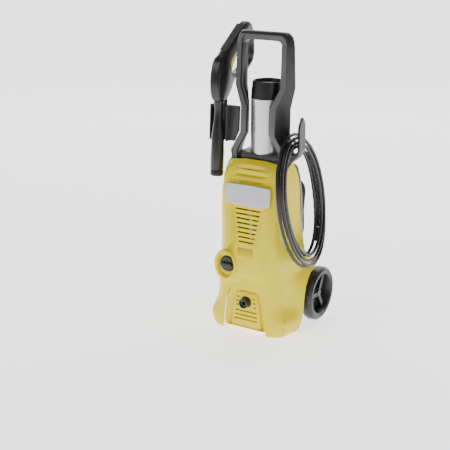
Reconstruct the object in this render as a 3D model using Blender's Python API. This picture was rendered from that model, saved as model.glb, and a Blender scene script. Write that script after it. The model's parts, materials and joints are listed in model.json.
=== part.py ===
"""An upright electric pressure washer on two wheels, with its spray gun, hose and mains lead stored on it.

Metres, +Z up. The front faces -Y and the viewer's right is +X. Every piece is measured from the motor's axis and
the floor, and the empty "machine" moves them all so that the origin is the middle of the footprint.
"""

import math

import bmesh
import bpy
from mathutils import Matrix, Vector

# Whole machine
FOOTPRINT_SHIFT = -0.0153  # from the motor's axis to the middle of the footprint, along Y
GAP = 0.0003  # between touching pieces
WALL = 0.003  # moulded walls

# Wheels and axle
WHEEL_RADIUS = 0.0852
WHEEL_Y = 0.0870
WHEEL_OUTER_X = 0.1575
WHEEL_WIDTH = 0.038
AXLE_RADIUS = 0.006
LUGS = 24

# Motor sleeve, cap and collar
SLEEVE_RADIUS = 0.0495
SLEEVE_BOTTOM = 0.532
SLEEVE_TOP = 0.7045
CAP_TOP = 0.7555
COLLAR_BOTTOM = 0.516
COLLAR_TOP = 0.545

# Handle frame: its front leans back as it rises
HANDLE_TOP = 0.900
STEP_DEPTH = 0.007  # of the rebate round the inside of the frame

# Front face fittings
KNOB_CENTRE = Vector((-0.0600, -0.1285, 0.2130))
KNOB_RADIUS = 0.0245
BOSS_CENTRE = (-0.0650, 0.2095)  # x and z
BOSS_SIZE = (0.0375, 0.049)  # half width and half height
OUTLET_CENTRE = Vector((0.0, -0.121, 0.097))
OUTLET_RADIUS = 0.0155
VENT_SLOTS = 8
RECESS_FLOOR_Y = -0.1172  # of the hollow round the vent slots, at its middle
RECESS_LEAN = math.radians(6.3)
SLOT_LEAN = math.radians(8)
NICHE_HALF = [(0.078, -0.02), (0.066, 0.110), (0.050, 0.141)]  # the arch between the feet
VENT_TOP = 0.386
VENT_BOTTOM = 0.290

# Spray gun, in the holder on the left
GUN_X = -0.127
GUN_SEAT = Vector((GUN_X, -0.0675, 0.690))  # where the barrel's axis enters the holder
GUN_LEAN = math.radians(3.6)
BARREL_RADIUS = 0.0200
NECK_RADIUS = 0.0125
BARREL_LENGTH = 0.222
GUN_HALF_WIDTH = 0.017
TRIGGER_PIVOT = Vector((0.0, 0.0480, 0.0765))  # in the gun's own frame

# Hose, about 5.2 m of 10 mm hose in an oval coil that leans back from the right-hand hook
COIL_CENTRE = Vector((0.1340, -0.030, 0.4125))
COIL_HALF_SIZE = (0.1173, 0.1903)  # of the middle of the bundle, across and along the oval
COIL_LEAN = 0.238  # radians, top to the front
COIL_SLANT = -0.10  # metres outward for each metre of height
COIL_HALF_BAND = 0.0235
COIL_HALF_WIDTH = 0.0150
FITTING_ANGLES = (-52, 24)  # of the gun end and the pump end
HOOK_Y = (-0.063, -0.025)
COIL_SHELF = -0.0054  # the pocket for the end fittings starts here, toward the machine

# Mains lead, 5 m of 7.5 mm rubber cable in a hank on two hooks at the back
LEAD_DIAMETER = 0.0075
HANK_CENTRE = Vector((0.044, 0.085, 0.346))
HANK_HALF_SIZE = (0.041, 0.100)
HANK_HALF_BAND = 0.0135
HANK_THICKNESS = 0.027
LEAD_EXIT = Vector((-0.030, 0.118, 0.150))


# Scene, materials and placing


def clear_scene():
    for old in list(bpy.data.objects):
        bpy.data.objects.remove(old)


def material(name, colour, roughness, metallic=0.0):
    made = bpy.data.materials.new(name)
    made.use_nodes = True
    shader = made.node_tree.nodes["Principled BSDF"]
    shader.inputs["Base Color"].default_value = (*colour, 1.0)
    shader.inputs["Roughness"].default_value = roughness
    shader.inputs["Metallic"].default_value = metallic
    return made


def empty(name, location, parent=None, rotation=(0.0, 0.0, 0.0)):
    made = bpy.data.objects.new(name, None)
    made.location = location
    made.rotation_euler = rotation
    made.parent = parent
    bpy.context.scene.collection.objects.link(made)
    return made


def add_object(name, data, look, parent, at=(0.0, 0.0, 0.0), turn=(0.0, 0.0, 0.0)):
    made = bpy.data.objects.new(name, data)
    made.location = at
    made.rotation_euler = turn
    made.parent = parent
    data.materials.append(look)
    bpy.context.scene.collection.objects.link(made)
    return made


def mesh_from(name, points, faces, smooth_angle=35.0):
    """A mesh with its normals out, smooth except at edges sharper than the angle."""
    mesh = bpy.data.meshes.new(name)
    mesh.from_pydata([tuple(p) for p in points], [], faces)
    work = bmesh.new()
    work.from_mesh(mesh)
    bmesh.ops.recalc_face_normals(work, faces=work.faces)
    if work.calc_volume(signed=True) < 0:
        bmesh.ops.reverse_faces(work, faces=work.faces)
    work.to_mesh(mesh)
    work.free()
    mesh.shade_smooth()
    mesh.set_sharp_from_angle(angle=math.radians(smooth_angle))
    return mesh


# Shapes


def ring_faces(rings, size, closed=True):
    """Quads between rings of points that follow each other in one list."""
    faces = []
    for r in range(rings - 1):
        for i in range(size if closed else size - 1):
            j = (i + 1) % size
            faces.append((r * size + i, r * size + j, (r + 1) * size + j, (r + 1) * size + i))
    return faces


def loft(name, rings):
    """A closed solid through closed rings of equally many points, capped at both ends."""
    size = len(rings[0])
    faces = ring_faces(len(rings), size)
    last = (len(rings) - 1) * size
    faces += [tuple(range(size))[::-1], tuple(range(last, last + size))]
    return mesh_from(name, [p for ring in rings for p in ring], faces)


AXES = {
    "X": Matrix.Rotation(math.radians(90), 3, "Y"),
    "Y": Matrix.Rotation(math.radians(-90), 3, "X"),
    "Z": Matrix.Identity(3),
}


def turned(name, profile, axis="Z", sides=32):
    """A solid of revolution. The profile is a list of (radius, height); an end at radius 0 closes on the axis,
    and a profile with no point on the axis is closed on itself, which makes a ring."""
    points, loops = [], []
    for radius, height in profile:
        count = 1 if radius == 0 else sides
        loops.append(range(len(points), len(points) + count))
        for i in range(count):
            angle = 2 * math.pi * i / sides
            points.append(Vector((radius * math.cos(angle), radius * math.sin(angle), height)))
    pairs = list(zip(loops, loops[1:]))
    if len(loops[0]) > 1:
        pairs.append((loops[-1], loops[0]))
    faces = []
    for a, b in pairs:
        for i in range(sides):
            j = (i + 1) % sides
            if len(a) == 1:
                faces.append((a[0], b[i], b[j]))
            elif len(b) == 1:
                faces.append((a[i], a[j], b[0]))
            else:
                faces.append((a[i], a[j], b[j], b[i]))
    return mesh_from(name, [AXES[axis] @ p for p in points], faces)


def cylinder(name, radius, length, axis="Z", sides=24, chamfer=0.0):
    """A cylinder centred on its origin."""
    half = length / 2
    profile = [(0, -half), (radius - chamfer, -half), (radius, -half + chamfer)]
    profile += [(radius, half - chamfer), (radius - chamfer, half), (0, half)]
    if not chamfer:
        profile = [(0, -half), (radius, -half), (radius, half), (0, half)]
    return turned(name, profile, axis, sides)


def tube(name, outer, inner, length, axis="Z", sides=32):
    half = length / 2
    return turned(name, [(inner, -half), (outer, -half), (outer, half), (inner, half)], axis, sides)


def block(name, size, chamfer=0.0):
    """A box centred on its origin, with its upright edges chamfered."""
    x, y, z = (s / 2 for s in size)
    c = chamfer
    outline = [(x - c, -y), (x, -y + c), (x, y - c), (x - c, y), (-x + c, y), (-x, y - c), (-x, -y + c), (-x + c, -y)]
    if not c:
        outline = [(x, -y), (x, y), (-x, y), (-x, -y)]
    return loft(name, [[Vector((px, py, h)) for px, py in outline] for h in (-z, z)])


def inset(outline, distance):
    """The outline of a polygon, listed anticlockwise, moved inward by the distance."""
    moved = []
    for i, here in enumerate(outline):
        before, after = Vector(outline[i - 1]), Vector(outline[(i + 1) % len(outline)])
        here = Vector(here)
        one, two = (here - before).normalized(), (after - here).normalized()
        normal_one, normal_two = Vector((-one.y, one.x)), Vector((-two.y, two.x))
        middle = (normal_one + normal_two).normalized()
        moved.append(here + middle * distance / max(0.5, middle.dot(normal_one)))
    return moved


PLANES = {
    "XZ": lambda a, b, depth: Vector((a, depth, b)),
    "YZ": lambda a, b, depth: Vector((depth, a, b)),
    "XY": lambda a, b, depth: Vector((a, b, depth)),
}


def layered(name, outline, layers, plane):
    """An outline stacked at each (depth, inset) of the layers, along the axis that the plane leaves out."""
    rings = [[PLANES[plane](p[0], p[1], depth) for p in inset(outline, edge)] for depth, edge in layers]
    return loft(name, rings)


def arc(centre, radius, start, end, count):
    """Points on an arc, or on an elliptical one when the radius is a pair; angles in degrees."""
    rx, ry = radius if isinstance(radius, tuple) else (radius, radius)
    angles = [math.radians(start + (end - start) * i / (count - 1)) for i in range(count)]
    return [(centre[0] + rx * math.cos(a), centre[1] + ry * math.sin(a)) for a in angles]


def rounded(corners, radius, count=3):
    """An outline with each corner replaced by a curve of about that radius."""
    outline = []
    for i, here in enumerate(corners):
        here, before = Vector(here), Vector(corners[i - 1])
        after = Vector(corners[(i + 1) % len(corners)])
        start = here + (before - here).normalized() * radius
        end = here + (after - here).normalized() * radius
        for k in range(count):
            t = k / (count - 1)
            outline.append(start.lerp(here, t).lerp(here.lerp(end, t), t))
    return outline


def smooth_route(route, count):
    """Points along a Catmull-Rom curve through the route's own points, evenly spaced in its parameter."""
    padded = [route[0] * 2 - route[1], *route, route[-1] * 2 - route[-2]]
    made = []
    for i in range(count):
        place = i / (count - 1) * (len(route) - 1)
        k = min(int(place), len(route) - 2)
        t = place - k
        a, b, c, d = padded[k : k + 4]
        made.append(0.5 * (2 * b + (c - a) * t + (2 * a - 5 * b + 4 * c - d) * t**2 + (3 * b - a - 3 * c + d) * t**3))
    return made


def cord_curve(name, route, diameter, count):
    curve = bpy.data.curves.new(name, "CURVE")
    curve.dimensions = "3D"
    curve.bevel_depth = diameter / 2
    curve.bevel_resolution = 2
    curve.use_fill_caps = True
    spline = curve.splines.new("POLY")
    points = smooth_route(route, count)
    spline.points.add(len(points) - 1)
    for knot, p in zip(spline.points, points):
        knot.co = (*p, 1.0)
    return curve


# Booleans


def helper(name, mesh, like, at=(0.0, 0.0, 0.0), turn=(0.0, 0.0, 0.0)):
    """A hidden cutter or addition, in the same frame as the piece it works on."""
    made = bpy.data.objects.new(name, mesh)
    made.location = at
    made.rotation_euler = turn
    made.parent = like.parent
    made.hide_render = True
    made.display_type = "WIRE"
    bpy.context.scene.collection.objects.link(made)
    return made


def combine(piece, other, operation):
    step = piece.modifiers.new(other.name, "BOOLEAN")
    step.operation = operation
    step.object = other


def cut(piece, other):
    combine(piece, other, "DIFFERENCE")


def unite(piece, other):
    combine(piece, other, "UNION")


# Covers and base

# Each level of the front cover: height, front corner, edge of the front face, middle of the front, rear edge, how
# far the side is scooped in and how far the front panel is raised. Points are (x, y) of the right-hand half.
COVER_LEVELS = [
    (0.002, (0.117, -0.112), (0.078, -0.128), -0.128, (0.136, -0.034), 0.0, 0.0),
    (0.020, (0.125, -0.116), (0.080, -0.129), -0.129, (0.139, -0.022), 0.0, 0.0),
    (0.040, (0.1265, -0.117), (0.080, -0.129), -0.129, (0.139, -0.012), 0.0, 0.0),
    (0.050, (0.1255, -0.116), (0.080, -0.128), -0.128, (0.139, -0.009), 0.005, 0.0),
    (0.062, (0.121, -0.113), (0.079, -0.127), -0.127, (0.139, -0.006), 0.011, 0.0),
    (0.074, (0.115, -0.110), (0.078, -0.127), -0.127, (0.139, -0.005), 0.015, 0.0),
    (0.088, (0.110, -0.108), (0.077, -0.126), -0.127, (0.139, -0.004), 0.016, 0.0),
    (0.108, (0.106, -0.107), (0.076, -0.126), -0.126, (0.139, 0.000), 0.015, 0.0),
    (0.134, (0.1045, -0.106), (0.075, -0.125), -0.126, (0.138, 0.010), 0.013, 0.0),
    (0.150, (0.103, -0.106), (0.074, -0.125), -0.126, (0.137, 0.024), 0.011, 0.0),
    (0.166, (0.1015, -0.105), (0.073, -0.125), -0.126, (0.135, 0.044), 0.009, 0.0),
    (0.178, (0.101, -0.105), (0.072, -0.1245), -0.1255, (0.132, 0.088), 0.007, 0.0),
    (0.185, (0.100, -0.105), (0.072, -0.1245), -0.1285, (0.130, 0.091), 0.005, 0.0040),
    (0.193, (0.100, -0.105), (0.072, -0.1250), -0.1295, (0.128, 0.090), 0.004, 0.0052),
    (0.210, (0.099, -0.105), (0.071, -0.1255), -0.130, (0.123, 0.066), 0.002, 0.0052),
    (0.240, (0.098, -0.105), (0.071, -0.1240), -0.129, (0.118, 0.035), 0.0, 0.0052),
    (0.300, (0.097, -0.105), (0.073, -0.1190), -0.1245, (0.113, 0.020), 0.0, 0.0045),
    (0.345, (0.098, -0.104), (0.075, -0.1155), -0.1205, (0.112, 0.012), 0.0, 0.0038),
    (0.390, (0.099, -0.103), (0.077, -0.1110), -0.1145, (0.112, 0.007), 0.0, 0.0022),
    (0.440, (0.099, -0.100), (0.077, -0.105), -0.1065, (0.111, 0.004), 0.0, 0.0),
    (0.477, (0.096, -0.093), (0.077, -0.097), -0.099, (0.109, -0.002), 0.0, 0.0),
    (0.502, (0.095, -0.084), (0.076, -0.090), -0.0915, (0.107, -0.012), 0.0, 0.0),
    (0.518, (0.096, -0.070), (0.077, -0.077), -0.079, (0.104, -0.022), 0.0, 0.0),
    (0.529, (0.097, -0.059), (0.078, -0.063), -0.0645, (0.103, -0.030), 0.0, 0.0),
]
CORNER_ROUND = 0.013
GROOVES = ((-0.0870, 0.5075), (-0.0945, 0.4920), (-0.0990, 0.4765))  # y of each floor and height
SHOULDER_START = 0.052  # from here outward the top edge falls away
SHOULDER_DROP = 0.017


def corner_curve(before, corner, after, radius, count):
    before, corner, after = Vector(before), Vector(corner), Vector(after)
    start = corner + (before - corner).normalized() * radius
    end = corner + (after - corner).normalized() * radius
    steps = [k / (count - 1) for k in range(count)]
    return [start.lerp(corner, t).lerp(corner.lerp(end, t), t) for t in steps]


def cover_section(corner, edge, middle, rear, scoop, raised):
    """Half of one level of the cover, from its rear edge round to the middle of the front."""
    corner, edge, rear = Vector(corner), Vector(edge), Vector(rear)
    inward = Vector((-1.0, 0.0))
    side = []
    for t, depth in ((0.10, 0.15), (0.24, 0.75), (0.50, 1.0), (0.74, 0.85), (0.89, 0.25)):
        side.append(rear.lerp(corner, t) + inward * scoop * depth)
    round_corner = corner_curve(rear, corner, edge, CORNER_ROUND, 3)
    lip = [edge + Vector((0.0025, 0.0004)), edge + Vector((-0.0015, -raised - 0.0004))]
    return [rear, *side, *round_corner, *lip, Vector((edge.x * 0.45, middle * 0.8 + (edge.y - raised) * 0.2))]


def front_cover(machine, yellow):
    points = []
    for z, corner, edge, middle, rear, scoop, raised in COVER_LEVELS:
        half = cover_section(corner, edge, middle, rear, scoop, raised)
        level = [Vector((p.x, p.y, z)) for p in half]
        level.append(Vector((0.0, middle, z)))
        level += [Vector((-p.x, p.y, z)) for p in reversed(half)]
        top = min(1.0, max(0.0, (z - 0.477) / 0.052))
        for p in level:
            beyond = max(0.0, abs(p.x) - SHOULDER_START) / (0.097 - SHOULDER_START)
            forward = min(1.0, max(0.0, (-0.030 - p.y) / 0.025))
            p.z -= SHOULDER_DROP * top * forward * beyond**2
        points += level
    size = len(points) // len(COVER_LEVELS)
    mesh = bpy.data.meshes.new("front_cover")
    mesh.from_pydata([tuple(p) for p in points], [], ring_faces(len(COVER_LEVELS), size, closed=False))
    mesh.shade_smooth()
    cover = add_object("front_cover", mesh, yellow, machine)
    shell = cover.modifiers.new("wall", "SOLIDIFY")
    shell.thickness = WALL
    shell.offset = 1.0
    shell.use_even_offset = False

    oval = arc(BOSS_CENTRE, BOSS_SIZE, 0, 345, 24)
    boss = layered("boss", oval, [(-0.108, 0.0), (-0.1345, 0.0), (-0.1375, 0.0012), (-0.1390, 0.0045)], "XZ")
    unite(cover, helper("boss", boss, cover))
    dish_oval = arc((BOSS_CENTRE[0] + 0.003, BOSS_CENTRE[1] + 0.001), (0.0310, 0.0410), 0, 345, 24)
    dish = layered("dish", dish_oval, [(-0.150, -0.007), (-0.1385, 0.001), (-0.128, 0.0050)], "XZ")
    cut(cover, helper("dish", dish, cover))
    x, y, z = KNOB_CENTRE
    well = cylinder("knob_well", KNOB_RADIUS + 0.0012, 0.0175, "Y", 28)
    cut(cover, helper("knob_well", well, cover, (x, -0.1275, z)))
    bore = cylinder("knob_bore", 0.0065, 0.03, "Y", 16)
    cut(cover, helper("knob_bore", bore, cover, (x, -0.115, z)))
    cut(cover, helper("niche", layered("niche", NICHE, [(-0.16, 0.0), (-0.09, 0.0)], "XZ"), cover))

    recess = rounded([(0.029, -0.070), (0.050, 0.061), (-0.050, 0.061), (-0.029, -0.070)], 0.010, 4)
    at, turn = (0.0, RECESS_FLOOR_Y, 0.338), (-RECESS_LEAN, 0, 0)
    backing = layered("vent_backing", inset(recess, -0.003), [(0.004, 0.0), (-0.0005, 0.0)], "XZ")
    unite(cover, helper("vent_backing", backing, cover, at, turn))
    hollow = layered("vent_recess", recess, [(-0.020, -0.002), (-0.0015, 0.0), (0.0, 0.0020)], "XZ")
    cut(cover, helper("vent_recess", hollow, cover, at, turn))
    for i in range(VENT_SLOTS):
        t = i / (VENT_SLOTS - 1)
        z = VENT_TOP + (VENT_BOTTOM - VENT_TOP) * t
        slot = block("slot", (0.086 - 0.034 * t, 0.05, 0.0052))
        cut(cover, helper(f"vent_slot_{i + 1}", slot, cover, (0.0, -0.119, z), (SLOT_LEAN, 0, 0)))
    for i, (y, z) in enumerate(GROOVES):
        groove = block("groove", (0.106 - 0.004 * i, 0.014, 0.0044))
        cut(cover, helper(f"groove_{i + 1}", groove, cover, (0.0, y - 0.0050, z), (math.radians(-25), 0, 0)))
    return cover


# Each level of the rear cover: height, half width, front edge and back.
REAR_LEVELS = [
    (0.115, 0.1040, -0.020, 0.108),
    (0.180, 0.1040, -0.018, 0.100),
    (0.235, 0.1055, -0.008, 0.068),
    (0.300, 0.1055, -0.004, 0.056),
    (0.400, 0.1050, -0.012, 0.050),
    (0.470, 0.1020, -0.020, 0.041),
    (0.500, 0.0995, -0.030, 0.031),
    (0.510, 0.0985, -0.036, 0.022),
]


def rear_cover(machine, black):
    points = []
    for z, wide, front, back in REAR_LEVELS:
        corner = corner_curve((wide, front), (wide, back), (0.0, back + 0.004), 0.024, 4)
        half = [Vector((wide, front)), *corner, Vector((wide * 0.35, back + 0.003))]
        points += [Vector((p.x, p.y, z)) for p in half]
        points += [Vector((-p.x, p.y, z)) for p in reversed(half)]
    size = len(points) // len(REAR_LEVELS)
    mesh = bpy.data.meshes.new("rear_cover")
    mesh.from_pydata([tuple(p) for p in points], [], ring_faces(len(REAR_LEVELS), size, closed=False))
    mesh.shade_smooth()
    cover = add_object("rear_cover", mesh, black, machine)
    shell = cover.modifiers.new("wall", "SOLIDIFY")
    shell.thickness = WALL
    shell.offset = -1.0
    shell.use_even_offset = False
    return cover


def base_tray(machine, black):
    """An open tray between the wheels, with a bearing boss for the axle in each side."""
    tray = add_object("base_tray", block("base_tray", (0.180, 0.196, 0.090), 0.02), black, machine,
                      (0.0, 0.010, 0.063))
    hollow = block("tray_hollow", (0.172, 0.188, 0.090), 0.018)
    cut(tray, helper("tray_hollow", hollow, tray, (0.0, 0.010, 0.068)))
    bore = cylinder("axle_bore", AXLE_RADIUS + GAP, 0.3, "X", 20)
    for side in (-1, 1):
        boss = cylinder("axle_boss", 0.0125, 0.030, "X", 20)
        unite(tray, helper(f"axle_boss_{side}", boss, tray, (side * 0.0975, WHEEL_Y, WHEEL_RADIUS)))
    cut(tray, helper("axle_bore", bore, tray, (0.0, WHEEL_Y, WHEEL_RADIUS)))
    return tray


def arch(half, radius):
    """A closed outline from the right-hand half of an arch."""
    return rounded([(-half[0][0], half[0][1]), *half, *[(-x, z) for x, z in reversed(half[1:])]], radius)


NICHE = arch(NICHE_HALF, 0.014)


def outlet_panel(machine, yellow):
    """The panel behind the arch: a sloping reveal down to a raised grille, with slots beside and below the outlet."""
    mouth = arch([(0.0744, 0.012), (0.0656, 0.1098), (0.0497, 0.1404)], 0.0137)
    foot = arch([(0.0545, 0.012), (0.0430, 0.100), (0.0345, 0.1270)], 0.009)
    raised = arch([(0.0530, 0.012), (0.0415, 0.099), (0.0330, 0.1255)], 0.009)
    levels = [(-0.0960, mouth), (-0.1215, mouth), (-0.1225, inset(mouth, 0.0012)), (-0.1100, inset(foot, -0.001)),
              (-0.1095, inset(foot, 0.0005)), (-0.1170, raised), (-0.1190, inset(raised, 0.002))]
    rings = [[Vector((x, y, z)) for x, z in outline] for y, outline in levels]
    panel = add_object("outlet_panel", loft("outlet_panel", rings), yellow, machine)
    hollow = layered("panel_hollow", inset(foot, 0.004), [(-0.09, 0.0), (-0.1065, 0.0)], "XZ")
    cut(panel, helper("panel_hollow", hollow, panel))
    pipe_way = block("pipe_way", (0.0126, 0.0255, 0.050))
    cut(panel, helper("pipe_way", pipe_way, panel, (0.0, -0.0946, 0.1330)))
    x, y, z = OUTLET_CENTRE
    bore = cylinder("outlet_opening", 0.0182, 0.04, "Y", 28)
    cut(panel, helper("outlet_opening", bore, panel, (x, -0.115, z)))
    for i in range(3):
        z = 0.1100 - 0.0135 * i
        for side in (-1, 1):
            slot = block("short_slot", (0.0105, 0.03, 0.0044))
            cut(panel, helper(f"short_slot_{i}_{side}", slot, panel, (side * (0.0275 + 0.0015 * i), -0.118, z)))
        low = block("low_slot", (0.074 + 0.004 * i, 0.03, 0.0044))
        cut(panel, helper(f"low_slot_{i}", low, panel, (0.0, -0.118, 0.0655 - 0.0138 * i)))
    return panel


def badge(machine, silver):
    """The plate across the front: straight top, bowed lower edge."""
    outline = rounded([(-0.0745, 0.4065), (-0.055, 0.4015), (0.0, 0.3985), (0.055, 0.4015), (0.0745, 0.4065),
                       (0.0765, 0.4625), (0.0, 0.4640), (-0.0765, 0.4625)], 0.004, 2)
    layers = [(0.0, 0.0), (-0.0022, 0.0), (-0.0032, 0.0012)]
    lowered = [(a, b - 0.430) for a, b in outline]
    return add_object("badge_plate", layered("badge_plate", lowered, layers, "XZ"), silver, machine,
                      (0.0, -0.1128, 0.430), (math.radians(-6.0), 0, 0))


# Handle frame, motor sleeve and collar

# Each level of a post: height, inner x, inner x behind the step, inner x at the rear, outer x at the front,
# outer x at the rear, front y and rear y.
POST_LEVELS = [
    (0.470, 0.0690, 0.0687, 0.0740, 0.0895, 0.0905, -0.0500, -0.0060),
    (0.512, 0.0715, 0.0690, 0.0760, 0.0915, 0.0930, -0.0535, -0.0065),
    (0.548, 0.0730, 0.0700, 0.0780, 0.0944, 0.0985, -0.0560, -0.0070),
    (0.606, 0.0390, 0.0330, 0.0560, 0.0595, 0.0830, -0.0610, -0.0090),
    (0.682, 0.0395, 0.0335, 0.0560, 0.0600, 0.0825, -0.0560, -0.0070),
    (0.742, 0.0672, 0.0615, 0.0640, 0.0845, 0.0955, -0.0455, -0.0050),
    (0.800, 0.0672, 0.0610, 0.0630, 0.0838, 0.0935, -0.0425, -0.0060),
    (0.862, 0.0670, 0.0610, 0.0620, 0.0825, 0.0915, -0.0400, -0.0060),
]


def post(name, side, machine, grey):
    rings = []
    for z, inner_x, open_x, inner_rear, front_x, rear_x, y, back in POST_LEVELS:
        step = y + STEP_DEPTH
        ring = [(inner_x, y), (front_x - 0.0025, y), (front_x, y + 0.0025), (rear_x, back - 0.004),
                (rear_x - 0.004, back), (inner_rear + 0.002, back), (inner_rear, back - 0.003), (open_x, step),
                (inner_x, step)]
        ring = [Vector((side * px, py, z)) for px, py in ring]
        rings.append(ring if side > 0 else ring[::-1])
    return add_object(name, loft(name, rings), grey, machine)


def handle_bar(machine, grey):
    """The bridge across the top: the grip and the two shoulders that meet the posts, with the same rebate."""
    foot = 0.862 + GAP
    front_inner = [(0.0670, foot), (0.0660, 0.8735), (0.0600, 0.8855), (0.0480, 0.8870)]
    rear_inner = [(0.0610, foot), (0.0600, 0.8665), (0.0540, 0.8730), (0.0440, 0.8745)]
    # Each layer: y, outer x at the foot, height of the top and which inner outline it has.
    layers = [(-0.0400, 0.0800, 0.8900, front_inner), (-0.0375, 0.0825, 0.8940, front_inner),
              (-0.0330, 0.0838, 0.8975, front_inner), (-0.0328, 0.0839, 0.8976, rear_inner),
              (-0.0225, 0.0868, HANDLE_TOP, rear_inner), (-0.0150, 0.0892, 0.8990, rear_inner),
              (-0.0100, 0.0910, 0.8950, rear_inner), (-0.0060, 0.0875, 0.8890, rear_inner)]
    rings = []
    for y, wide, top, inner in layers:
        outer = [(wide, foot), (wide - 0.0005, 0.8700), (wide - 0.0045, 0.8700 + (top - 0.8700) * 0.55),
                 (wide - 0.0110, top - 0.0025), (wide - 0.0190, top)]
        half = outer + [(-x, z) for x, z in reversed(outer)]
        under = [(-x, z) for x, z in inner] + list(reversed(inner))
        rings.append([Vector((x, y, z)) for x, z in half + under])
    add_object("handle_bar", loft("handle_bar", rings), grey, machine)


def tower(machine, grey, silver, black):
    post("handle_post_left", -1, machine, grey)
    post("handle_post_right", 1, machine, grey)
    handle_bar(machine, grey)

    height = SLEEVE_TOP - SLEEVE_BOTTOM
    wall = 0.0015
    profile = [(SLEEVE_RADIUS - wall, height), (SLEEVE_RADIUS - wall, 0.005), (SLEEVE_RADIUS - 0.005, 0.0),
               (SLEEVE_RADIUS - 0.003, 0.0), (SLEEVE_RADIUS, 0.004), (SLEEVE_RADIUS, height)]
    add_object("motor_sleeve", turned("motor_sleeve", profile, sides=32), silver, machine, (0, 0, SLEEVE_BOTTOM))

    low, high = SLEEVE_TOP + GAP, CAP_TOP
    radius = SLEEVE_RADIUS - 0.0006
    profile = [(0, high - 0.009), (radius - 0.0085, high - 0.009), (radius - 0.0065, high - 0.001),
               (radius - 0.0045, high), (radius - 0.0030, high - 0.002), (radius + 0.0012, low), (radius - 0.002, low),
               (radius - 0.0055, high - 0.014), (0, high - 0.014)]
    add_object("motor_cap", turned("motor_cap", profile[::-1], sides=32), black, machine)

    size = (0.136, 0.100, COLLAR_TOP - COLLAR_BOTTOM)
    middle = (COLLAR_TOP + COLLAR_BOTTOM) / 2
    collar = add_object("sleeve_collar", block("sleeve_collar", size, 0.012), grey, machine, (0.0, -0.005, middle))
    hole = cylinder("collar_hole", SLEEVE_RADIUS + 0.0012, 0.1, "Z", 32)
    cut(collar, helper("collar_hole", hole, collar, (0, 0, middle)))
    slope = block("collar_slope", (0.2, 0.05, 0.05))
    cut(collar, helper("collar_slope", slope, collar, (0.0, -0.0715, 0.556), (math.radians(50), 0, 0)))


def internals(machine, steel, black, cast):
    """Motor above, swash plate and axial pump below, with the switch and its capacitor at the side."""
    motor = [(0, 0.515), (0.041, 0.515), (0.041, 0.690), (0.012, 0.696), (0, 0.696)]
    can = add_object("motor_can", turned("motor_can", motor, sides=20), steel, machine)
    cut(can, helper("motor_bore", cylinder("motor_bore", 0.0055, 0.08, "Z", 12), can, (0, 0, 0.500)))
    shaft_top, plate_top, plate_low = 0.538, 0.502, 0.486
    rotor = empty("motor_shaft_axis", (0, 0, 0), machine)
    shaft = turned("motor_shaft", [(0, plate_low), (0.0265, plate_low + 0.005), (0.0265, plate_top), (0.005, plate_top),
                                   (0.005, shaft_top), (0, shaft_top)], sides=20)
    wobble = add_object("motor_shaft", shaft, steel, rotor)
    slant = block("swash_slope", (0.1, 0.1, 0.02))
    cut(wobble, helper("swash_slope", slant, wobble, (0, 0, plate_low - 0.0055), (0, math.radians(7), 0)))

    pump = add_object("pump_block", cylinder("pump_block", 0.039, 0.100, "Z", 20, 0.004), cast, machine,
                      (0, 0, 0.400))
    outlet = cylinder("pump_outlet", 0.012, 0.110, "Y", 16)
    unite(pump, helper("pump_outlet", outlet, pump, (0, -0.045, 0.375)))
    route = ((0, -0.090, 0.3625), (0, -0.092, 0.300), (0.012, -0.096, 0.220), (0, -0.100, 0.150), (0, -0.1005, 0.1085))
    pipe = cord_curve("pressure_pipe", [Vector(p) for p in route], 0.011, 14)
    add_object("pressure_pipe", pipe, steel, machine)
    for i in range(3):
        angle = 2 * math.pi * (i + 0.25) / 3
        x, y = 0.021 * math.cos(angle), 0.021 * math.sin(angle)
        well = cylinder("piston_well", 0.0067, 0.045, "Z", 12)
        cut(pump, helper(f"piston_well_{i + 1}", well, pump, (x, y, 0.4405)))
        piston = [(0, -0.028), (0.0060, -0.028), (0.0060, 0.022), (0.0085, 0.022), (0.0085, 0.026), (0, 0.026)]
        add_object(f"pump_piston_{i + 1}", turned("piston", piston, sides=12), steel, machine, (x, y, 0.4530))

    x, y, z = KNOB_CENTRE
    add_object("switch_box", block("switch_box", (0.042, 0.036, 0.052), 0.003), black, machine, (x, -0.088, z))
    add_object("capacitor", cylinder("capacitor", 0.015, 0.060, "Z", 20, 0.002), steel, machine, (0.070, 0.010, 0.330))


def switch_knob(machine, black):
    """A round rotary switch with a raised bar to grip, turning on a stem through the front cover."""
    axis = empty("switch_knob_axis", KNOB_CENTRE, machine)
    profile = [(0, 0.0190), (0.005, 0.0190), (0.005, 0.0045), (KNOB_RADIUS, 0.0045), (KNOB_RADIUS, -0.002),
               (KNOB_RADIUS - 0.003, -0.005), (0, -0.005)]
    disc = turned("switch_knob", [(r, h) for r, h in profile[::-1]], "Y", 32)
    knob = add_object("switch_knob", disc, black, axis)
    bar = layered("knob_bar", rounded([(-0.020, -0.0055), (0.020, -0.0055), (0.020, 0.0055), (-0.020, 0.0055)],
                                      0.004), [(-0.0035, 0.0), (-0.0130, 0.0008), (-0.0140, 0.002)], "XZ")
    unite(knob, helper("knob_bar", bar, knob))


def outlet(machine, black, grey):
    """The high-pressure outlet: a socket behind the panel and the spring-loaded release ring on it."""
    x, y, z = OUTLET_CENTRE
    socket = turned("outlet_socket", [(0.0065, -0.012), (0.0110, -0.012), (0.0110, 0.0285), (0.0065, 0.0285)], "Y", 20)
    add_object("outlet_socket", socket, grey, machine, (x, y, z))
    axis = empty("outlet_ring_axis", (x, y, z), machine)
    ring = [(0.0114, -0.0165), (0.0140, -0.0175), (OUTLET_RADIUS, -0.0155), (OUTLET_RADIUS, -0.001),
            (OUTLET_RADIUS + 0.002, 0.0), (OUTLET_RADIUS + 0.002, 0.004), (0.0114, 0.004)]
    add_object("outlet_ring", turned("outlet_ring", ring, "Y", 20), black, axis)


# Wheels


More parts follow.
